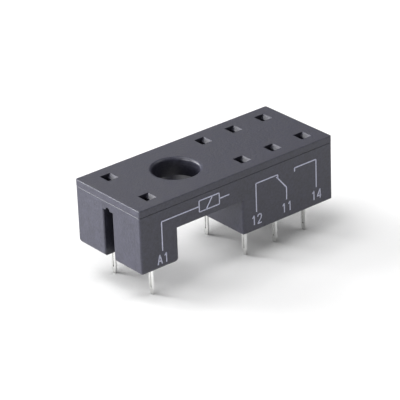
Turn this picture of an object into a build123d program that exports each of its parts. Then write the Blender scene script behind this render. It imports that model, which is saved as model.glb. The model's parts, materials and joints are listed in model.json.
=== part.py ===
from build123d import *
import os

# Relay socket for a printed board: a moulded base with an arch under its bridge, a cover plate
# and eight stamped terminals.
# X runs from the coil end to the contact end, Y across the two rows of pins, Z up.
# The origin is below the middle of the housing, in the plane that the pin tips stand on.
# All sizes are in millimetres.

# Pin pattern
COIL_TO_CONTACTS = 15.0       # coil pins to the first pair of contact pins
CONTACT_PITCH = 5.0
CONTACT_PAIRS = 3
ROW_SPACING = 7.5
PIN_REACH = 4.5               # pin tips below the face that meets the board

# Housing, measured outwards from the pins
COIL_END_INSET = 3.3          # end face to the coil pins
CONTACT_END_INSET = 2.7       # last contact pins to the other end face
SIDE_INSET = 2.55             # pin row to the long face
LEG_BEYOND_COIL = 2.45        # coil pins to the arch
BLOCK_BEFORE_CONTACTS = 2.2   # arch to the first contact pins
CHAMBER_DEPTH = 6.5
FLOOR_THICKNESS = 1.4         # under the contact chambers
COVER_THICKNESS = 0.9
COVER_OVERHANG = 0.02         # cover beyond the base at each long face

# Edges of the housing
CORNER_RADIUS = 0.25
TOP_EDGE_RADIUS = 0.12
SEAM_CHAMFER = 0.12           # along the top of the base

# Stand-off foot at the arch side of the coil leg, with a rounded lower edge
FOOT_HEIGHT = 0.18
FOOT_LENGTH = 1.3
FOOT_EDGE_RADIUS = 0.6

# Countersunk fixing hole through the bridge
HEAD_RADIUS = 3.0
HEAD_DEPTH = 2.4              # straight part, from the top face
HEAD_RIM_RADIUS = 0.38
SCREW_HOLE_RADIUS = 1.7
SCREW_LAND = 0.35             # straight part below the countersink

# Retainer slot in each end face
RETAINER_WIDTH = 1.8
RETAINER_DEPTH = 1.5
RETAINER_ROOF = 1.2           # left between the slot and the cover
RETAINER_EDGE_RADIUS = 0.2    # upright edges of its mouth
RETAINER_RELIEF_RADIUS = 0.4  # half-round relief in the middle of its roof

# Hollow that keeps the contact block's walls even, closed by the cover
CORE_WIDTH = 2.8
CORE_DEPTH = 5.0

# Lead-in funnels in the cover
FUNNEL_DEPTH = 0.5
MOUTH_LENGTH = 1.58           # along X
MOUTH_WIDTH = 1.7             # along Y
THROAT_LENGTH = 0.65
THROAT_WIDTH = 1.66

# Locating pegs under the cover
PEG_RADIUS = 0.5
PEG_LENGTH = 1.2
PEG_CLEARANCE = 0.05

# Terminals, each folded from one strip
STRIP_THICKNESS = 0.25
CLIP_WIDTH = 1.6              # along Y
CLIP_SPAN = 1.9               # across the two leaves, along X
CLIP_HEADROOM = 0.3           # leaf tips below the cover
CLIP_CLEARANCE = 0.15         # leaves to the chamber walls
CLIP_BEND_RADIUS = 0.3
PINCH_GAP = 0.4               # between the leaves where they grip
PINCH_DROP = 1.0              # leaf tips to the grip
LEAF_FOOT = 1.7               # upright start of each leaf
BLADE_WIDTH = 0.86
BLADE_EDGE_RADIUS = 0.08
BLADE_CLEARANCE = 0.05        # blade to its slot in the floor
TIP_WIDTH = 0.5
TIP_THICKNESS = 0.12
TIP_TAPER = 0.7
GROOVE_WIDTH = 0.22
GROOVE_DEPTH = 0.1
GROOVE_END = 0.9              # pin tip to the end of the groove

# Heights
SEAT_Z = PIN_REACH
FLOOR_Z = SEAT_Z + FLOOR_THICKNESS
SEAM_Z = FLOOR_Z + CHAMBER_DEPTH
TOP_Z = SEAM_Z + COVER_THICKNESS
COUNTERSINK_DEPTH = HEAD_RADIUS - SCREW_HOLE_RADIUS
COUNTERSINK_Z = TOP_Z - HEAD_DEPTH - COUNTERSINK_DEPTH
ROOF_Z = COUNTERSINK_Z - SCREW_LAND

# Places along X and Y
CONTACT_SPAN = CONTACT_PITCH * (CONTACT_PAIRS - 1)
LENGTH = COIL_END_INSET + COIL_TO_CONTACTS + CONTACT_SPAN + CONTACT_END_INSET
WIDTH = ROW_SPACING + 2 * SIDE_INSET
BASE_WIDTH = WIDTH - 2 * COVER_OVERHANG
END_X = LENGTH / 2
ROW_Y = ROW_SPACING / 2
COIL_X = COIL_END_INSET - END_X
FIRST_CONTACT_X = COIL_X + COIL_TO_CONTACTS
LEG_X = COIL_X + LEG_BEYOND_COIL
BLOCK_X = FIRST_CONTACT_X - BLOCK_BEFORE_CONTACTS
HOLE_X = COIL_X + COIL_TO_CONTACTS / 2
CONTACT_XS = [FIRST_CONTACT_X + CONTACT_PITCH * i for i in range(CONTACT_PAIRS)]

# Chambers that take the terminals
CHAMBER_LENGTH = CLIP_SPAN + 2 * CLIP_CLEARANCE
CHAMBER_WIDTH = CLIP_WIDTH + 2 * CLIP_CLEARANCE
PIN_SLOT_LENGTH = STRIP_THICKNESS + 2 * BLADE_CLEARANCE
PIN_SLOT_WIDTH = BLADE_WIDTH + 2 * BLADE_CLEARANCE

# Terminal names by place: each row from the coil outwards
ROW_NAMES = [
    ["coil_terminal_a1", "contact_terminal_12", "contact_terminal_11", "contact_terminal_14"],
    ["coil_terminal_a2", "contact_terminal_22", "contact_terminal_21", "contact_terminal_24"],
]


def terminal_places():
    """Every terminal's name, X and Y."""
    places = []
    for names, y in zip(ROW_NAMES, (-ROW_Y, ROW_Y)):
        for name, x in zip(names, [COIL_X] + CONTACT_XS):
            places.append((name, x, y))
    return places


def peg_places():
    """One peg in the coil leg, and four in the walls between the contact chambers."""
    walls = [x + CONTACT_PITCH / 2 for x in CONTACT_XS[:-1]]
    return [(COIL_X, 0)] + [(x, y) for x in walls for y in (-ROW_Y, ROW_Y)]


def prism(outline, low, high):
    """A flat outline raised between two heights."""
    return Pos(0, 0, low) * extrude(outline, high - low)


def upright(start_x, end_x, low, high):
    """A block as wide as the base, with rounded upright edges, between two places along X."""
    outline = RectangleRounded(end_x - start_x, BASE_WIDTH, CORNER_RADIUS)
    return prism(Pos((start_x + end_x) / 2, 0) * outline, low, high)


def coil_leg():
    """The leg under the coil pins, standing on a low foot at its arch side."""
    leg = upright(-END_X, LEG_X, SEAT_Z, ROOF_Z)
    lower_edge = leg.faces().sort_by(Axis.X)[-1].edges().sort_by(Axis.Z)[0]
    leg = fillet(lower_edge, FOOT_EDGE_RADIUS)
    clearance = upright(-END_X, LEG_X - FOOT_LENGTH, SEAT_Z, SEAT_Z + FOOT_HEIGHT)
    return leg - clearance


def body():
    """The bridge on the coil leg and the contact block."""
    bridge = upright(-END_X, END_X, ROOF_Z, SEAM_Z)
    bridge = chamfer(bridge.edges().group_by(Axis.Z)[-1], SEAM_CHAMFER)
    return bridge + coil_leg() + upright(BLOCK_X, END_X, SEAT_Z, ROOF_Z)


def retainer_slot():
    """The cutter for a retaining clip's slot, open downwards, centred on an end face at X = 0."""
    roof_z = SEAM_Z - RETAINER_ROOF
    radius = RETAINER_EDGE_RADIUS
    mouth = Rectangle(2 * radius, RETAINER_WIDTH + 2 * radius)
    mouth -= GridLocations(2 * radius, RETAINER_WIDTH + 2 * radius, 2, 2) * Circle(radius)
    slot = prism(Rectangle(2 * RETAINER_DEPTH, RETAINER_WIDTH) + mouth, 0, roof_z)
    relief = Plane.YZ * Pos(0, roof_z) * Circle(RETAINER_RELIEF_RADIUS)
    return slot + extrude(relief, RETAINER_DEPTH, both=True)


def fixing_hole():
    """The cutter for the countersunk hole through the bridge, up to the top face."""
    radii = [
        (0, ROOF_Z), (SCREW_HOLE_RADIUS, ROOF_Z), (SCREW_HOLE_RADIUS, COUNTERSINK_Z),
        (HEAD_RADIUS, COUNTERSINK_Z + COUNTERSINK_DEPTH), (HEAD_RADIUS, TOP_Z), (0, TOP_Z),
    ]
    profile = make_face(Polyline(*radii, close=True))
    return Pos(HOLE_X, 0, 0) * revolve(Plane.XZ * profile, Axis.Z)


def base():
    """The moulded base: the body, hollowed from above by its chambers."""
    chamber = prism(Rectangle(CHAMBER_LENGTH, CHAMBER_WIDTH), FLOOR_Z, SEAM_Z)
    pin_slot = prism(Rectangle(PIN_SLOT_LENGTH, PIN_SLOT_WIDTH), SEAT_Z, FLOOR_Z)
    peg_hole_z = SEAM_Z - PEG_LENGTH - PEG_CLEARANCE
    peg_hole = prism(Circle(PEG_RADIUS + PEG_CLEARANCE), peg_hole_z, SEAM_Z)
    core_x = (CONTACT_XS[0] + CONTACT_XS[-1]) / 2
    core = prism(Rectangle(CONTACT_SPAN, CORE_WIDTH), SEAM_Z - CORE_DEPTH, SEAM_Z)

    solid = body() - fixing_hole() - Pos(core_x, 0, 0) * core
    for name, x, y in terminal_places():
        solid -= Pos(x, y, 0) * (chamber + pin_slot)
    for x, y in peg_places():
        solid -= Pos(x, y, 0) * peg_hole
    for end_x in (-END_X, END_X):
        solid -= Pos(end_x, 0, 0) * retainer_slot()
    return solid


def funnel():
    """The cutter for a lead-in hole through the cover, on the Z axis."""
    throat_z = TOP_Z - FUNNEL_DEPTH
    mouth = Pos(0, 0, TOP_Z) * Rectangle(MOUTH_LENGTH, MOUTH_WIDTH)
    throat = Rectangle(THROAT_LENGTH, THROAT_WIDTH)
    taper = loft([Pos(0, 0, throat_z) * throat, mouth], ruled=True)
    return taper + prism(throat, SEAM_Z, throat_z)


def cover():
    """The cover plate, with its funnels, its round hole and its pegs."""
    plate = prism(RectangleRounded(LENGTH, WIDTH, CORNER_RADIUS), SEAM_Z, TOP_Z)
    plate = fillet(plate.edges().group_by(Axis.Z)[-1], TOP_EDGE_RADIUS)
    plate -= fixing_hole()
    rim = plate.edges().group_by(Axis.Z)[-1].filter_by(GeomType.CIRCLE).sort_by(SortBy.RADIUS)[-1]
    plate = fillet(rim, HEAD_RIM_RADIUS)
    for name, x, y in terminal_places():
        plate -= Pos(x, y, 0) * funnel()
    peg = prism(Circle(PEG_RADIUS), SEAM_Z - PEG_LENGTH, SEAM_Z)
    for x, y in peg_places():
        plate += Pos(x, y, 0) * peg
    return plate


def clip():
    """The two sprung leaves and the web that joins them, standing on the chamber floor."""
    leaf_x = (CLIP_SPAN - STRIP_THICKNESS) / 2
    pinch_x = (PINCH_GAP + STRIP_THICKNESS) / 2
    web_z = FLOOR_Z + STRIP_THICKNESS / 2
    tip_z = SEAM_Z - CLIP_HEADROOM
    leaf = [
        (leaf_x, tip_z), (pinch_x, tip_z - PINCH_DROP), (leaf_x, FLOOR_Z + LEAF_FOOT), (leaf_x, web_z)
    ]
    other_leaf = [(-x, z) for x, z in reversed(leaf)]
    path = FilletPolyline(*leaf, *other_leaf, radius=CLIP_BEND_RADIUS)
    return extrude(Plane.XZ * trace(path, STRIP_THICKNESS), CLIP_WIDTH / 2, both=True)


def tapered(plane, size, tip_size):
    """The blade's outline in an upright plane, narrowed to its tip, thick enough to cut with."""
    half = size / 2
    half_tip = tip_size / 2
    outline = Polyline(
        (-half_tip, 0), (half_tip, 0), (half, TIP_TAPER), (half, FLOOR_Z), (-half, FLOOR_Z),
        (-half, TIP_TAPER), close=True,
    )
    return extrude(plane * make_face(outline), BLADE_WIDTH, both=True)


def blade():
    """The solder blade, from the clip's web down to its chisel tip, with a groove down one face."""
    section = RectangleRounded(STRIP_THICKNESS, BLADE_WIDTH, BLADE_EDGE_RADIUS)
    flat = prism(section, 0, FLOOR_Z) & tapered(Plane.YZ, BLADE_WIDTH, TIP_WIDTH)
    flat &= tapered(Plane.XZ, STRIP_THICKNESS, TIP_THICKNESS)
    groove = prism(Rectangle(2 * GROOVE_DEPTH, GROOVE_WIDTH), GROOVE_END, FLOOR_Z)
    return flat - Pos(-STRIP_THICKNESS / 2, 0, 0) * groove


os.makedirs("parts", exist_ok=True)
export_step(base(), "parts/housing_base.step")
export_step(cover(), "parts/top_cover.step")
terminal = clip() + blade()
for name, x, y in terminal_places():
    export_step(Pos(x, y, 0) * terminal, f"parts/{name}.step")
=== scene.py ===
"""A relay socket for a printed board: its surface finishes, its printed marks and a plain studio."""

import json
import math

import bmesh
import bpy
from mathutils import Matrix, Quaternion, Vector


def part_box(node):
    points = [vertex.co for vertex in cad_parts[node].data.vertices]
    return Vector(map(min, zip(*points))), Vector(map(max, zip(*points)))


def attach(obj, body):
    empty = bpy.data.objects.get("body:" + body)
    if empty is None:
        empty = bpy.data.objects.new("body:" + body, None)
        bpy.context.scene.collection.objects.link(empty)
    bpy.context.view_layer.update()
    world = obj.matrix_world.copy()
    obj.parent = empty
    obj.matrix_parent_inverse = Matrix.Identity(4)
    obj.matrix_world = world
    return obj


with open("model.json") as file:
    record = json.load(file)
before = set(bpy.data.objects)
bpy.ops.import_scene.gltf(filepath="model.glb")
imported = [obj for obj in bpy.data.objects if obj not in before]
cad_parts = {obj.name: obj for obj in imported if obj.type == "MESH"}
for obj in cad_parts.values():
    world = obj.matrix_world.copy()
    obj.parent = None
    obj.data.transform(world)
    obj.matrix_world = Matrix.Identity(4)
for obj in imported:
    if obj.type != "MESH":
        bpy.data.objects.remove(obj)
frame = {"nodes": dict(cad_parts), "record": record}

bl_info = {
    "name": "Relay Socket",
    "version": (1, 0, 0),
    "blender": (4, 5, 0),
    "location": "3D View > Sidebar > Relay Socket",
    "description": "Moulded plastic, tinned terminals, printed terminal marks and a plain studio",
    "category": "Object",
}

MM = 0.001
BODY = "root"
HOUSING_NODES = ["housing_base", "top_cover"]
TERMINAL_NODES = sorted(name for name in frame["nodes"] if "terminal" in name)

# Places that come from the frame
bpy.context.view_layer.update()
BASE_LOW, BASE_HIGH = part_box("housing_base")
TERMINAL_BOXES = {name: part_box(name) for name in TERMINAL_NODES}
TERMINAL_PLACES = {name: (low + high) / 2 for name, (low, high) in TERMINAL_BOXES.items()}
SCREW_HOLE = next(m for m in frame["record"]["mounts"] if m["name"] == "screw_hole")
BRIDGE_X = SCREW_HOLE["pos_m"][0]

# Printed marks
MARK_HEIGHT = 1.25 * MM
MARK_WIDTH = 0.65 * MM
MARK_PITCH = 0.95 * MM            # one figure to the next
MARK_RISE = 0.75 * MM             # lower edge of the housing to the foot of the marks
LEAD_GAP = 0.45 * MM              # marks to the lines above them
SYMBOL_DROP = 1.55 * MM           # top of the base to the top line of the symbols
BLADE_START = 1.7 * MM            # foot of the moving contact's line, above the marks
CONTACT_HOOK = 0.5 * MM           # short stroke at the end of a fixed contact's line
CONTACT_REACH = 3.6 * MM          # fixed contact's line, from its own lead
BLADE_OVERSHOOT = 0.35 * MM
COIL_LENGTH = 3.2 * MM
COIL_HEIGHT = 1.5 * MM
COIL_STUB = 1.6 * MM              # line beyond the coil
COIL_SLANT = COIL_LENGTH / 6      # half the slanted line, along the coil
FIGURE_CORNER = 0.03 * MM         # radius of the figures' corners
SYMBOL_CORNER = 0.12 * MM         # radius of the symbols' corners
CORNER_STEPS = 4
MERGE_DISTANCE = 1e-5 * MM        # points closer than this become one

# Strokes of each figure, on a field one wide and one high; a pointed top stands above the field,
# because its rounded corner takes some of its height
FIGURES = {
    "A": [[(0.0, 0.0), (0.5, 1.06), (1.0, 0.0)], [(0.18, 0.34), (0.82, 0.34)]],
    "1": [[(0.2, 0.76), (0.6, 1.04), (0.6, 0.0)]],
    "2": [
        [
            (0.02, 0.76), (0.16, 0.95), (0.5, 1.0), (0.84, 0.94), (0.96, 0.74), (0.84, 0.52),
            (0.0, 0.0), (1.0, 0.0),
        ],
    ],
    "4": [[(0.76, 0.0), (0.76, 1.06), (0.0, 0.28), (1.0, 0.28)]],
}

# Darkest and lightest tone of each finish, as shares of its colour
PLASTIC_TONES = (0.6, 1.4)
TIN_TONES = (0.88, 1.08)
INK_TONES = (0.8, 1.15)
EDGE_HIGHLIGHT_TONE = 1.4                   # painted highlight: the plastic lightened right on its edges
EDGE_HIGHLIGHT_LIKENESS = 0.75              # of the softened normal to the flat one, where the painted edge highlight is full
ROUGHNESS_SPREAD = 0.1            # either side of a finish's roughness

# Patterns, each scale as a share of the finer pattern's
CLOUD_SCALE = 0.2                 # mottling of the plastic, beside its grain
CLOUD_WEIGHT = 0.35               # of the slow cloud in the mottling
STAIN_SCALE = 0.1                 # clouds on the tin, beside its rolling lines
LINE_STRETCH = 0.02               # rolling lines along the strip, beside their scale across it

# Share of the surroundings that is open, where the painted shade of a recess starts and where it is
# full
PLASTIC_OPEN_SHARE = 0.6
TIN_OPEN_SHARE = 0.9
FLOOR_OPEN_SHARE = 0.88
CLOSED_SHARE = 0.2

# Distant soft lamps: name, azimuth from +X, elevation and width, all in degrees, and the
# brightness that each gives a white surface facing it
LAMPS = [
    ("left_low", 180, 5, 22, 0.981),
    ("left_high", 180, 62, 45, 0.350),
    ("corner_low", 150, 5, 22, 0.365),
    ("back_low", 120, 5, 22, 1.472),
    ("back_middle", 127, 32, 30, 0.450),
    ("back_high", 120, 66, 22, 0.194),
    ("far_right", 60, 30, 22, 0.071),
    ("front_right", 330, 45, 22, 0.245),
]
FLOOR_REACH = 3000 * MM           # half the floor's width
CLIP_START = 10 * MM

# Sockets of a Mix node that mixes colours
MIX_FACTOR, MIX_START, MIX_END = 0, 6, 7
MIX_RESULT = 2


class HousingFinish(bpy.types.PropertyGroup):
    """Moulded plastic of the base and the cover"""

    colour: bpy.props.FloatVectorProperty(
        name="Colour", description="Colour of the plastic", subtype="COLOR",
        size=3, min=0.0, max=1.0, default=(0.031, 0.031, 0.048),
    )
    roughness: bpy.props.FloatProperty(
        name="Roughness", description="Roughness of the moulded surface", subtype="FACTOR",
        min=0.0, max=1.0, default=0.4,
    )
    grain_size: bpy.props.FloatProperty(
        name="Grain Size", description="Width of the grain that the mould leaves", unit="LENGTH",
        precision=6, default=0.28 * MM,
    )
    grain_depth: bpy.props.FloatProperty(
        name="Grain Depth", description="Depth of the grain", unit="LENGTH",
        precision=6, default=0.03 * MM,
    )
    edge_radius: bpy.props.FloatProperty(
        name="Edge Radius", description="Small radius that softens every edge", unit="LENGTH",
        precision=6, default=0.06 * MM,
    )
    # Painted shade: how far the plastic is darkened in its recesses
    recess_shade_width: bpy.props.FloatProperty(
        name="Recess Width", description="Widest recess in which the plastic looks darker",
        unit="LENGTH", precision=5, default=7 * MM,
    )
    recess_shade_tone: bpy.props.FloatProperty(
        name="Recess Tone", description="Share of its colour that the plastic keeps in a deep recess",
        subtype="FACTOR", min=0.0, max=1.0, default=0.3,
    )


class TerminalFinish(bpy.types.PropertyGroup):
    """Tin plating of the terminals"""

    colour: bpy.props.FloatVectorProperty(
        name="Colour", description="Colour of the tin", subtype="COLOR",
        size=3, min=0.0, max=1.0, default=(0.88, 0.88, 0.87),
    )
    roughness: bpy.props.FloatProperty(
        name="Roughness", description="Roughness of the plated strip", subtype="FACTOR",
        min=0.0, max=1.0, default=0.22,
    )
    # Painted shade: how far the tin is darkened in its hollows
    hollow_shade_width: bpy.props.FloatProperty(
        name="Hollow Width", description="Widest hollow in which the tin looks dull", unit="LENGTH",
        precision=5, default=0.3 * MM,
    )
    hollow_shade_tone: bpy.props.FloatProperty(
        name="Hollow Tone", description="Share of its colour that the tin keeps in a hollow",
        subtype="FACTOR", min=0.0, max=1.0, default=0.65,
    )
    line_width: bpy.props.FloatProperty(
        name="Rolling Line Width", description="Width of the fine lines along the strip",
        unit="LENGTH", precision=6, default=0.06 * MM,
    )
    line_depth: bpy.props.FloatProperty(
        name="Rolling Line Depth", description="Depth of the fine lines along the strip",
        unit="LENGTH", precision=6, default=0.002 * MM,
    )


class PrintFinish(bpy.types.PropertyGroup):
    """Printed terminal marks and symbols"""

    colour: bpy.props.FloatVectorProperty(
        name="Colour", description="Colour of the ink", subtype="COLOR",
        size=3, min=0.0, max=1.0, default=(0.46, 0.47, 0.59),
    )
    roughness: bpy.props.FloatProperty(
        name="Roughness", description="Roughness of the dried ink", subtype="FACTOR",
        min=0.0, max=1.0, default=0.55,
    )
    line_width: bpy.props.FloatProperty(
        name="Line Width", description="Width of the symbols' lines", unit="LENGTH",
        precision=5, default=0.16 * MM,
    )
    thickness: bpy.props.FloatProperty(
        name="Ink Thickness", description="Height of the ink above the plastic", unit="LENGTH",
        precision=6, default=0.01 * MM,
    )


class StudioLook(bpy.types.PropertyGroup):
    """Floor, light and camera"""

    floor_colour: bpy.props.FloatVectorProperty(
        name="Floor Colour", description="Colour of the floor", subtype="COLOR",
        size=3, min=0.0, max=1.0, default=(0.9, 0.9, 0.9),
    )
    # Painted shadow: how far and how dark the floor is darkened near the part
    shade_width: bpy.props.FloatProperty(
        name="Shade Width", description="How near the part has to be to shade the floor below it",
        unit="LENGTH", precision=5, default=5.6 * MM,
    )
    shade_tone: bpy.props.FloatProperty(
        name="Shade Tone", description="Share of its colour that the floor keeps in full shade",
        subtype="FACTOR", min=0.0, max=1.0, default=0.2,
    )
    ambient: bpy.props.FloatProperty(
        name="Ambient Light", description="Light from the surroundings", min=0.0, default=0.152,
    )
    camera_azimuth: bpy.props.FloatProperty(
        name="Azimuth", description="Way that the camera looks, from the object's +Y",
        subtype="ANGLE", default=math.radians(-38.789),
    )
    camera_elevation: bpy.props.FloatProperty(
        name="Elevation", description="Height of the camera above the horizon",
        subtype="ANGLE", default=math.radians(26.610),
    )
    camera_roll: bpy.props.FloatProperty(
        name="Roll", description="Turn of the camera about its own axis",
        subtype="ANGLE", default=math.radians(-2.1795),
    )
    camera_distance: bpy.props.FloatProperty(
        name="Distance", description="Camera to the point that it aims at",
        unit="LENGTH", default=300.305 * MM,
    )
    camera_aim: bpy.props.FloatVectorProperty(
        name="Aim", description="Point that the camera aims at", subtype="TRANSLATION",
        unit="LENGTH", size=3, default=(-0.5 * MM, 0.738 * MM, 7.173 * MM),
    )
    camera_lens: bpy.props.FloatProperty(
        name="Lens", description="Focal length", unit="CAMERA", default=215.471,
    )


def add_node(tree, kind, inputs=None, **settings):
    """A new node with its settings and the plain values of its inputs."""
    node = tree.nodes.new(kind)
    for name, value in settings.items():
        setattr(node, name, value)
    for name, value in (inputs or {}).items():
        node.inputs[name].default_value = value
    return node


def new_material(name):
    """An empty node material and its output node."""
    material = bpy.data.materials.new(name)
    material.use_nodes = True
    material.node_tree.nodes.clear()
    return material, material.node_tree.nodes.new("ShaderNodeOutputMaterial")


def new_group(name, kind, inputs, outputs):
    """A node group with named sockets, given as name and socket type, and its two end nodes."""
    group = bpy.data.node_groups.new(name, kind)
    for socket, socket_type in inputs:
        group.interface.new_socket(socket, in_out="INPUT", socket_type=socket_type)
    for socket, socket_type in outputs:
        group.interface.new_socket(socket, in_out="OUTPUT", socket_type=socket_type)
    return group, group.nodes.new("NodeGroupInput"), group.nodes.new("NodeGroupOutput")


def shared_group(name, build):
    """The node group of that name, built the first time that it is asked for."""
    return bpy.data.node_groups.get(name) or build(name)


def build_grain(name):
    """Fine grain as a height, and a mottling of the tone that follows it and a slower cloud."""
    group, given, result = new_group(
        name, "ShaderNodeTree",
        [("Vector", "NodeSocketVector"), ("Grain Size", "NodeSocketFloat")],
        [("Height", "NodeSocketFloat"), ("Mottle", "NodeSocketFloat")],
    )
    links = group.links
    fine_scale = add_node(group, "ShaderNodeMath", {0: 1.0}, operation="DIVIDE")
    slow_scale = add_node(group, "ShaderNodeMath", {1: CLOUD_SCALE}, operation="MULTIPLY")
    fine = add_node(group, "ShaderNodeTexNoise", {"Detail": 3.0, "Roughness": 0.6})
    slow = add_node(group, "ShaderNodeTexNoise", {"Detail": 4.0, "Roughness": 0.65})
    links.new(given.outputs["Grain Size"], fine_scale.inputs[1])
    links.new(fine_scale.outputs[0], slow_scale.inputs[0])
    for noise, scale in ((fine, fine_scale), (slow, slow_scale)):
        links.new(given.outputs["Vector"], noise.inputs["Vector"])
        links.new(scale.outputs[0], noise.inputs["Scale"])
    both = add_node(group, "ShaderNodeMix", {"Factor": CLOUD_WEIGHT})
    mottle = add_node(group, "ShaderNodeMapRange", {"From Min": 0.3, "From Max": 0.7})
    links.new(fine.outputs["Fac"], both.inputs["A"])
    links.new(slow.outputs["Fac"], both.inputs["B"])
    links.new(both.outputs["Result"], mottle.inputs["Value"])
    links.new(fine.outputs["Fac"], result.inputs["Height"])
    links.new(mottle.outputs["Result"], result.inputs["Mottle"])
    return group


def build_soft_edge(name):
    """A normal that rounds every edge by a small radius, and a mask of where it does."""
    group, given, result = new_group(
        name, "ShaderNodeTree",
        [("Radius", "NodeSocketFloat")],
        [("Normal", "NodeSocketVector"), ("Edge", "NodeSocketFloat")],
    )
    links = group.links
    bevel = add_node(group, "ShaderNodeBevel", samples=8)
    surface = add_node(group, "ShaderNodeNewGeometry")
    likeness = add_node(group, "ShaderNodeVectorMath", operation="DOT_PRODUCT")
    edge = add_node(group, "ShaderNodeMapRange", {"From Min": 1.0, "From Max": EDGE_HIGHLIGHT_LIKENESS})
    links.new(given.outputs["Radius"], bevel.inputs["Radius"])
    links.new(bevel.outputs["Normal"], likeness.inputs[0])
    links.new(surface.outputs["True Normal"], likeness.inputs[1])
    links.new(likeness.outputs["Value"], edge.inputs["Value"])
    links.new(bevel.outputs["Normal"], result.inputs["Normal"])
    links.new(edge.outputs["Result"], result.inputs["Edge"])
    return group


def build_recess_shade(name):
    """Painted shade: a colour that darkens, down to a tone, where less than a share of what is round
    it is open.
    """
    group, given, result = new_group(
        name, "ShaderNodeTree",
        [
            ("Color", "NodeSocketColor"), ("Width", "NodeSocketFloat"),
            ("Open Share", "NodeSocketFloat"), ("Dark Tone", "NodeSocketFloat"),
        ],
        [("Color", "NodeSocketColor")],
    )
    links = group.links
    openness = add_node(group, "ShaderNodeAmbientOcclusion", samples=8)
    share = add_node(group, "ShaderNodeMapRange", {"From Min": CLOSED_SHARE, "To Max": 1.0})
    shaded = add_node(
        group, "ShaderNodeMix", {MIX_FACTOR: 1.0}, data_type="RGBA", blend_type="MULTIPLY"
    )
    links.new(given.outputs["Width"], openness.inputs["Distance"])
    links.new(openness.outputs["AO"], share.inputs["Value"])
    links.new(given.outputs["Open Share"], share.inputs["From Max"])
    links.new(given.outputs["Dark Tone"], share.inputs["To Min"])
    links.new(given.outputs["Color"], shaded.inputs[MIX_START])
    links.new(share.outputs["Result"], shaded.inputs[MIX_END])
    links.new(shaded.outputs[MIX_RESULT], result.inputs["Color"])
    return group


def tone(colour, share):
    """The colour made lighter or darker by a share, with full alpha."""
    return (*(min(channel * share, 1.0) for channel in colour), 1.0)


def add_blend(tree, factor, start, end):
    """The output of a mix from one colour to another, which are values or outputs themselves."""
    blend = add_node(tree, "ShaderNodeMix", data_type="RGBA")
    tree.links.new(factor, blend.inputs[MIX_FACTOR])
    for socket, colour in ((MIX_START, start), (MIX_END, end)):
        if isinstance(colour, bpy.types.NodeSocket):
            tree.links.new(colour, blend.inputs[socket])
        else:
            blend.inputs[socket].default_value = colour
    return blend.outputs[MIX_RESULT]


def add_mottled_colour(tree, mask, colour, tones):
    """The output of a colour that runs from its darkest to its lightest tone with a mask."""
    darkest, lightest = tones
    return add_blend(tree, mask, tone(colour, darkest), tone(colour, lightest))


def add_varied_roughness(tree, mask, roughness):
    """The output of a roughness that varies to either side with a mask."""
    varied = add_node(
        tree, "ShaderNodeMapRange",
        {"To Min": roughness - ROUGHNESS_SPREAD, "To Max": roughness + ROUGHNESS_SPREAD},
    )
    tree.links.new(mask, varied.inputs["Value"])
    return varied.outputs["Result"]


def add_grain(tree, size):
    """The shared grain on Object coordinates."""
    place = add_node(tree, "ShaderNodeTexCoord")
    grain = add_node(tree, "ShaderNodeGroup", node_tree=shared_group("Moulded Grain", build_grain))
    grain.inputs["Grain Size"].default_value = size
    tree.links.new(place.outputs["Object"], grain.inputs["Vector"])
    return grain


def add_recess_shade(tree, colour, width, open_share, dark_tone):
    """The output of the shared painted recess shade on a colour output."""
    shade = add_node(
        tree, "ShaderNodeGroup", node_tree=shared_group("Recess Shade", build_recess_shade)
    )
    shade.inputs["Width"].default_value = width
    shade.inputs["Open Share"].default_value = open_share
    shade.inputs["Dark Tone"].default_value = dark_tone
    tree.links.new(colour, shade.inputs["Color"])
    return shade.outputs["Color"]


def moulded_plastic(finish):
    """Dark glass-filled plastic: fine grain, faint mottling, a painted highlight on its edges and
    painted shade in its recesses.
    """
    material, output = new_material("moulded_plastic")
    tree = material.node_tree
    links = tree.links
    grain = add_grain(tree, finish.grain_size)
    soft = add_node(tree, "ShaderNodeGroup", node_tree=shared_group("Soft Edge", build_soft_edge))
    soft.inputs["Radius"].default_value = finish.edge_radius
    mottled = add_mottled_colour(tree, grain.outputs["Mottle"], finish.colour, PLASTIC_TONES)
    # Painted highlight: the colour is lightened where the edges are softened
    edge_highlighted = add_blend(tree, soft.outputs["Edge"], mottled, tone(finish.colour, EDGE_HIGHLIGHT_TONE))
    # Painted shade: the plastic darkened in its recesses
    colour = add_recess_shade(
        tree, edge_highlighted, finish.recess_shade_width, PLASTIC_OPEN_SHARE, finish.recess_shade_tone
    )
    roughness = add_varied_roughness(tree, grain.outputs["Mottle"], finish.roughness)
    bump = add_node(tree, "ShaderNodeBump", {"Strength": 1.0, "Distance": finish.grain_depth})
    shader = add_node(tree, "ShaderNodeBsdfPrincipled", {"IOR": 1.5})
    links.new(grain.outputs["Height"], bump.inputs["Height"])
    links.new(soft.outputs["Normal"], bump.inputs["Normal"])
    links.new(colour, shader.inputs["Base Color"])
    links.new(roughness, shader.inputs["Roughness"])
    links.new(bump.outputs["Normal"], shader.inputs["Normal"])
    links.new(shader.outputs["BSDF"], output.inputs["Surface"])
    return material


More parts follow.
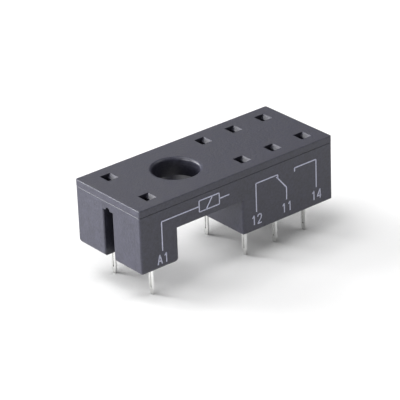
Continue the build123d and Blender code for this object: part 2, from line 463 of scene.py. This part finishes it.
def tinned_strip(finish):
    """Tin-plated strip: fine rolling lines along it, and painted shade in its hollows and where it
    meets the floor.
    """
    material, output = new_material("tinned_strip")
    tree = material.node_tree
    links = tree.links
    place = add_node(tree, "ShaderNodeTexCoord")
    along = add_node(tree, "ShaderNodeMapping", {"Scale": (1.0, 1.0, LINE_STRETCH)})
    lines = add_node(tree, "ShaderNodeTexNoise", {"Scale": 1.0 / finish.line_width, "Detail": 2.0})
    cloud = add_node(
        tree, "ShaderNodeTexNoise", {"Scale": STAIN_SCALE / finish.line_width, "Detail": 4.0}
    )
    mottled = add_mottled_colour(tree, cloud.outputs["Fac"], finish.colour, TIN_TONES)
    # Painted shade: the tin darkened in its hollows and where it meets the floor
    colour = add_recess_shade(
        tree, mottled, finish.hollow_shade_width, TIN_OPEN_SHARE, finish.hollow_shade_tone
    )
    roughness = add_varied_roughness(tree, lines.outputs["Fac"], finish.roughness)
    bump = add_node(tree, "ShaderNodeBump", {"Strength": 1.0, "Distance": finish.line_depth})
    shader = add_node(tree, "ShaderNodeBsdfPrincipled", {"Metallic": 1.0})
    links.new(place.outputs["Object"], along.inputs["Vector"])
    links.new(along.outputs["Vector"], lines.inputs["Vector"])
    links.new(place.outputs["Object"], cloud.inputs["Vector"])
    links.new(lines.outputs["Fac"], bump.inputs["Height"])
    links.new(colour, shader.inputs["Base Color"])
    links.new(roughness, shader.inputs["Roughness"])
    links.new(bump.outputs["Normal"], shader.inputs["Normal"])
    links.new(shader.outputs["BSDF"], output.inputs["Surface"])
    return material


def print_ink(finish, housing):
    """Pale ink that follows the grain of the plastic below it."""
    material, output = new_material("print_ink")
    tree = material.node_tree
    links = tree.links
    grain = add_grain(tree, housing.grain_size)
    colour = add_mottled_colour(tree, grain.outputs["Mottle"], finish.colour, INK_TONES)
    bump = add_node(tree, "ShaderNodeBump", {"Strength": 1.0, "Distance": housing.grain_depth})
    shader = add_node(tree, "ShaderNodeBsdfPrincipled", {"Roughness": finish.roughness})
    links.new(grain.outputs["Height"], bump.inputs["Height"])
    links.new(colour, shader.inputs["Base Color"])
    links.new(bump.outputs["Normal"], shader.inputs["Normal"])
    links.new(shader.outputs["BSDF"], output.inputs["Surface"])
    return material


def dress(names, material):
    """Gives CAD nodes one material over the whole of each."""
    for name in names:
        mesh = frame["nodes"][name].data
        mesh.materials.clear()
        mesh.materials.append(material)


def stand_on_face(mesh, face_y, thickness):
    """Stands flat strokes on a long face, upright and readable from outside it."""
    turn = Matrix.Rotation(math.pi if face_y > 0 else 0.0, 4, "Z")
    upright = Matrix.Rotation(math.radians(90), 4, "X")
    lift = Matrix.Translation((0.0, 0.0, thickness / 2))
    mesh.transform(Matrix.Translation((0.0, face_y, 0.0)) @ turn @ upright @ lift)


def plain_mesh(obj):
    """The mesh that a curve's modifiers make of it; the curve's object is deleted."""
    bpy.context.view_layer.update()
    graph = bpy.context.evaluated_depsgraph_get()
    mesh = bpy.data.meshes.new_from_object(obj.evaluated_get(graph))
    bpy.data.objects.remove(obj)
    return mesh


def terminal_row(face_y):
    """Each mark on a long face and the place of its terminal, along X as read from outside."""
    across = -1 if face_y > 0 else 1
    return {
        name.split("_")[-1].upper(): place.x * across
        for name, place in TERMINAL_PLACES.items() if place.y * face_y > 0
    }


def figure_strokes(text, centre_x, foot):
    """The open strokes of a short mark, centred over a place and standing on its foot."""
    start_x = centre_x - (MARK_PITCH * (len(text) - 1) + MARK_WIDTH) / 2
    strokes = []
    for place, figure in enumerate(text):
        left = start_x + MARK_PITCH * place
        for points in FIGURES[figure]:
            path = [(left + MARK_WIDTH * x, foot + MARK_HEIGHT * y) for x, y in points]
            strokes.append((path, False))
    return strokes


def add_piece(name, mesh):
    """An object of that mesh, with its doubles merged and its faces pointing outwards."""
    clean = bmesh.new()
    clean.from_mesh(mesh)
    bmesh.ops.remove_doubles(clean, verts=clean.verts, dist=MERGE_DISTANCE)
    bmesh.ops.recalc_face_normals(clean, faces=clean.faces)
    clean.to_mesh(mesh)
    clean.free()
    mesh.name = name
    obj = bpy.data.objects.new(name, mesh)
    bpy.context.scene.collection.objects.link(obj)
    return obj


def build_printed_line(name):
    """Geometry nodes: a flat printed line along each curve, with rounded corners."""
    group, given, result = new_group(
        name, "GeometryNodeTree",
        [
            ("Geometry", "NodeSocketGeometry"), ("Line Width", "NodeSocketFloat"),
            ("Thickness", "NodeSocketFloat"), ("Corner Radius", "NodeSocketFloat"),
            ("Ink", "NodeSocketMaterial"),
        ],
        [("Geometry", "NodeSocketGeometry")],
    )
    links = group.links
    flat = add_node(group, "GeometryNodeSetCurveNormal", mode="Z_UP")
    round_corners = add_node(group, "GeometryNodeFilletCurve", {"Count": CORNER_STEPS}, mode="POLY")
    section = add_node(group, "GeometryNodeCurvePrimitiveQuadrilateral", mode="RECTANGLE")
    ribbon = add_node(group, "GeometryNodeCurveToMesh", {"Fill Caps": True})
    realize = add_node(group, "GeometryNodeRealizeInstances")
    finish = add_node(group, "GeometryNodeSetMaterial")
    links.new(given.outputs["Geometry"], round_corners.inputs["Curve"])
    links.new(given.outputs["Corner Radius"], round_corners.inputs["Radius"])
    links.new(round_corners.outputs["Curve"], flat.inputs["Curve"])
    links.new(flat.outputs["Curve"], ribbon.inputs["Curve"])
    links.new(given.outputs["Line Width"], section.inputs["Width"])
    links.new(given.outputs["Thickness"], section.inputs["Height"])
    links.new(section.outputs["Curve"], ribbon.inputs["Profile Curve"])
    links.new(ribbon.outputs["Mesh"], realize.inputs["Geometry"])
    links.new(realize.outputs["Geometry"], finish.inputs["Geometry"])
    links.new(given.outputs["Ink"], finish.inputs["Material"])
    links.new(finish.outputs["Geometry"], result.inputs["Geometry"])
    return group


def line_mesh(strokes, corner_radius, settings, material):
    """Printed lines along strokes, each a list of points and whether it closes on itself."""
    curve = bpy.data.curves.new("strokes", "CURVE")
    curve.dimensions = "3D"
    for points, closed in strokes:
        spline = curve.splines.new("POLY")
        spline.points.add(len(points) - 1)
        for point, (x, y) in zip(spline.points, points):
            point.co = (x, y, 0.0, 1.0)
        spline.use_cyclic_u = closed
    obj = bpy.data.objects.new("strokes", curve)
    bpy.context.scene.collection.objects.link(obj)
    modifier = obj.modifiers.new("Printed Line", "NODES")
    group = shared_group("Printed Line", build_printed_line)
    modifier.node_group = group
    values = {
        "Line Width": settings.line_width, "Thickness": settings.thickness,
        "Corner Radius": corner_radius, "Ink": material,
    }
    for item in group.interface.items_tree:
        if item.in_out == "INPUT" and item.name in values:
            modifier[item.identifier] = values[item.name]
    return plain_mesh(obj)


def contact_strokes(resting, moving, working, foot, top):
    """The changeover symbol: a resting contact, the moving contact and a working contact."""
    rest_end = resting + CONTACT_REACH
    work_end = working - CONTACT_REACH
    hook = top - CONTACT_HOOK
    pivot = Vector((moving, foot + BLADE_START))
    tip = Vector((rest_end, hook))
    tip += (tip - pivot).normalized() * BLADE_OVERSHOOT
    return [
        ([(resting, foot), (resting, top), (rest_end, top), (rest_end, hook)], False),
        ([(moving, foot), tuple(pivot), tuple(tip)], False),
        ([(working, foot), (working, top), (work_end, top), (work_end, hook)], False),
    ]


def coil_strokes(terminal_x, foot, level):
    """The coil symbol on the bridge, with its line from the coil terminal."""
    near = BRIDGE_X - COIL_LENGTH / 2
    far = BRIDGE_X + COIL_LENGTH / 2
    low = level - COIL_HEIGHT / 2
    high = level + COIL_HEIGHT / 2
    return [
        ([(terminal_x, foot), (terminal_x, level), (near, level)], False),
        ([(near, low), (far, low), (far, high), (near, high)], True),
        ([(BRIDGE_X - COIL_SLANT, low), (BRIDGE_X + COIL_SLANT, high)], False),
        ([(far, level), (far + COIL_STUB, level)], False),
    ]


def print_strokes(name, strokes, face_y, corner_radius, settings, ink):
    """One printed piece of those strokes on a long face."""
    mesh = line_mesh(strokes, corner_radius, settings, ink)
    stand_on_face(mesh, face_y, settings.thickness)
    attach(add_piece(name, mesh), BODY)


def add_floor(look):
    """A wide pale floor at the tips of the pins, seen from above only, with a painted shadow near the
    part.
    """
    material, output = new_material("studio_floor")
    tree = material.node_tree
    links = tree.links
    plain = add_node(tree, "ShaderNodeRGB")
    plain.outputs["Color"].default_value = (*look.floor_colour, 1.0)
    # Painted shadow: the floor darkened where the part is near above it
    colour = add_recess_shade(
        tree, plain.outputs["Color"], look.shade_width, FLOOR_OPEN_SHARE, look.shade_tone
    )
    surface = add_node(tree, "ShaderNodeBsdfDiffuse")
    clear = add_node(tree, "ShaderNodeBsdfTransparent")
    side = add_node(tree, "ShaderNodeNewGeometry")
    choose = add_node(tree, "ShaderNodeMixShader")
    links.new(colour, surface.inputs["Color"])
    links.new(side.outputs["Backfacing"], choose.inputs[0])
    links.new(surface.outputs[0], choose.inputs[1])
    links.new(clear.outputs[0], choose.inputs[2])
    links.new(choose.outputs[0], output.inputs["Surface"])
    corners = [(x, y, 0.0) for x, y in ((-1, -1), (1, -1), (1, 1), (-1, 1))]
    mesh = bpy.data.meshes.new("studio_floor")
    mesh.from_pydata([Vector(c) * FLOOR_REACH for c in corners], [], [(0, 1, 2, 3)])
    mesh.materials.append(material)
    floor = bpy.data.objects.new("studio_floor", mesh)
    bpy.context.scene.collection.objects.link(floor)


def add_surroundings(look):
    """Surroundings that are seen as plain white, and light the object less than that."""
    world = bpy.data.worlds.new("studio_surroundings")
    world.use_nodes = True
    tree = world.node_tree
    tree.nodes.clear()
    links = tree.links
    output = add_node(tree, "ShaderNodeOutputWorld")
    path = add_node(tree, "ShaderNodeLightPath")
    light = add_node(tree, "ShaderNodeBackground", {"Color": (1, 1, 1, 1), "Strength": look.ambient})
    white = add_node(tree, "ShaderNodeBackground", {"Color": (1, 1, 1, 1), "Strength": 1.0})
    choose = add_node(tree, "ShaderNodeMixShader")
    links.new(path.outputs["Is Camera Ray"], choose.inputs[0])
    links.new(light.outputs[0], choose.inputs[1])
    links.new(white.outputs[0], choose.inputs[2])
    links.new(choose.outputs[0], output.inputs["Surface"])
    bpy.context.scene.world = world


def add_lamp(name, azimuth, elevation, width, brightness):
    """A distant soft lamp that shines from that azimuth and elevation, in degrees."""
    lamp = bpy.data.lights.new(name, "SUN")
    lamp.angle = math.radians(width)
    lamp.energy = brightness * math.pi
    level = math.cos(math.radians(elevation))
    direction = (
        math.cos(math.radians(azimuth)) * level, math.sin(math.radians(azimuth)) * level,
        math.sin(math.radians(elevation)),
    )
    obj = bpy.data.objects.new(name, lamp)
    obj.rotation_mode = "QUATERNION"
    obj.rotation_quaternion = Vector(direction).to_track_quat("Z", "Y")
    bpy.context.scene.collection.objects.link(obj)


def add_camera(look):
    """The camera, at its angles round the point that it aims at."""
    cos_elevation = math.cos(look.camera_elevation)
    back = Vector((
        math.sin(look.camera_azimuth) * cos_elevation,
        -math.cos(look.camera_azimuth) * cos_elevation,
        math.sin(look.camera_elevation),
    ))
    camera = bpy.data.cameras.new("camera")
    camera.lens = look.camera_lens
    camera.clip_start = CLIP_START
    obj = bpy.data.objects.new("camera", camera)
    obj.location = Vector(look.camera_aim) + back * look.camera_distance
    obj.rotation_mode = "QUATERNION"
    roll = Quaternion((0, 0, 1), look.camera_roll)
    obj.rotation_quaternion = (-back).to_track_quat("-Z", "Y") @ roll
    bpy.context.scene.collection.objects.link(obj)
    bpy.context.scene.camera = obj


class SceneOperator(bpy.types.Operator):
    """Base of this add-on's operators"""

    bl_options = {"REGISTER", "UNDO"}


class RELAYSOCKET_OT_housing(SceneOperator):
    """Give the base and the cover their moulded plastic"""

    bl_idname = "relay_socket.housing"
    bl_label = "Housing"

    def execute(self, context):
        dress(HOUSING_NODES, moulded_plastic(context.scene.relay_housing))
        return {"FINISHED"}


class RELAYSOCKET_OT_terminals(SceneOperator):
    """Give the eight terminals their tin plating"""

    bl_idname = "relay_socket.terminals"
    bl_label = "Terminals"

    def execute(self, context):
        dress(TERMINAL_NODES, tinned_strip(context.scene.relay_terminals))
        return {"FINISHED"}


class RELAYSOCKET_OT_marks(SceneOperator):
    """Print each terminal's number above its pin, and the coil and contact symbols"""

    bl_idname = "relay_socket.marks"
    bl_label = "Printed Marks"

    def execute(self, context):
        settings = context.scene.relay_print
        ink = print_ink(settings, context.scene.relay_housing)
        foot = BASE_LOW.z + MARK_RISE
        for side, face_y in (("front", BASE_LOW.y), ("back", BASE_HIGH.y)):
            figures = []
            for mark, x in terminal_row(face_y).items():
                figures += figure_strokes(mark, x, foot)
            print_strokes(f"terminal_numbers_{side}", figures, face_y, FIGURE_CORNER, settings, ink)
        lead_foot = foot + MARK_HEIGHT + LEAD_GAP
        level = BASE_HIGH.z - SYMBOL_DROP
        row = terminal_row(BASE_LOW.y)
        coil, resting, moving, working = (row[mark] for mark in ("A1", "12", "11", "14"))
        symbols = contact_strokes(resting, moving, working, lead_foot, level)
        symbols += coil_strokes(coil, lead_foot, level)
        print_strokes("contact_symbols_front", symbols, BASE_LOW.y, SYMBOL_CORNER, settings, ink)
        return {"FINISHED"}


class RELAYSOCKET_OT_studio(SceneOperator):
    """Set up the floor, the soft light and the camera"""

    bl_idname = "relay_socket.studio"
    bl_label = "Studio"

    def execute(self, context):
        look = context.scene.relay_studio
        add_floor(look)
        add_surroundings(look)
        for lamp in LAMPS:
            add_lamp(*lamp)
        add_camera(look)
        context.scene.view_settings.view_transform = "Standard"
        return {"FINISHED"}


class RELAYSOCKET_PT_panel(bpy.types.Panel):
    """Steps that dress the relay socket, in order"""

    bl_idname = "RELAYSOCKET_PT_panel"
    bl_label = "Relay Socket"
    bl_space_type = "VIEW_3D"
    bl_region_type = "UI"
    bl_category = "Relay Socket"

    def draw(self, context):
        for settings_name, _, operator in STEPS:
            box = self.layout.box()
            box.operator(operator.bl_idname)
            settings = getattr(context.scene, settings_name)
            for name in settings.bl_rna.properties.keys():
                if name not in ("rna_type", "name"):
                    box.prop(settings, name)


# Name of the settings on a scene, their class, and the operator that uses them, in order
STEPS = [
    ("relay_housing", HousingFinish, RELAYSOCKET_OT_housing),
    ("relay_terminals", TerminalFinish, RELAYSOCKET_OT_terminals),
    ("relay_print", PrintFinish, RELAYSOCKET_OT_marks),
    ("relay_studio", StudioLook, RELAYSOCKET_OT_studio),
]


def register():
    """Adds the settings, the operators and the panel."""
    for settings_name, settings, operator in STEPS:
        bpy.utils.register_class(settings)
        setattr(bpy.types.Scene, settings_name, bpy.props.PointerProperty(type=settings))
        bpy.utils.register_class(operator)
    bpy.utils.register_class(RELAYSOCKET_PT_panel)


def unregister():
    """Takes the panel, the operators and the settings away."""
    bpy.utils.unregister_class(RELAYSOCKET_PT_panel)
    for settings_name, settings, operator in reversed(STEPS):
        bpy.utils.unregister_class(operator)
        delattr(bpy.types.Scene, settings_name)
        bpy.utils.unregister_class(settings)


def main():
    """Runs every step in order."""
    register()
    bpy.ops.relay_socket.housing()
    bpy.ops.relay_socket.terminals()
    bpy.ops.relay_socket.marks()
    bpy.ops.relay_socket.studio()


if __name__ == "__main__":
    main()
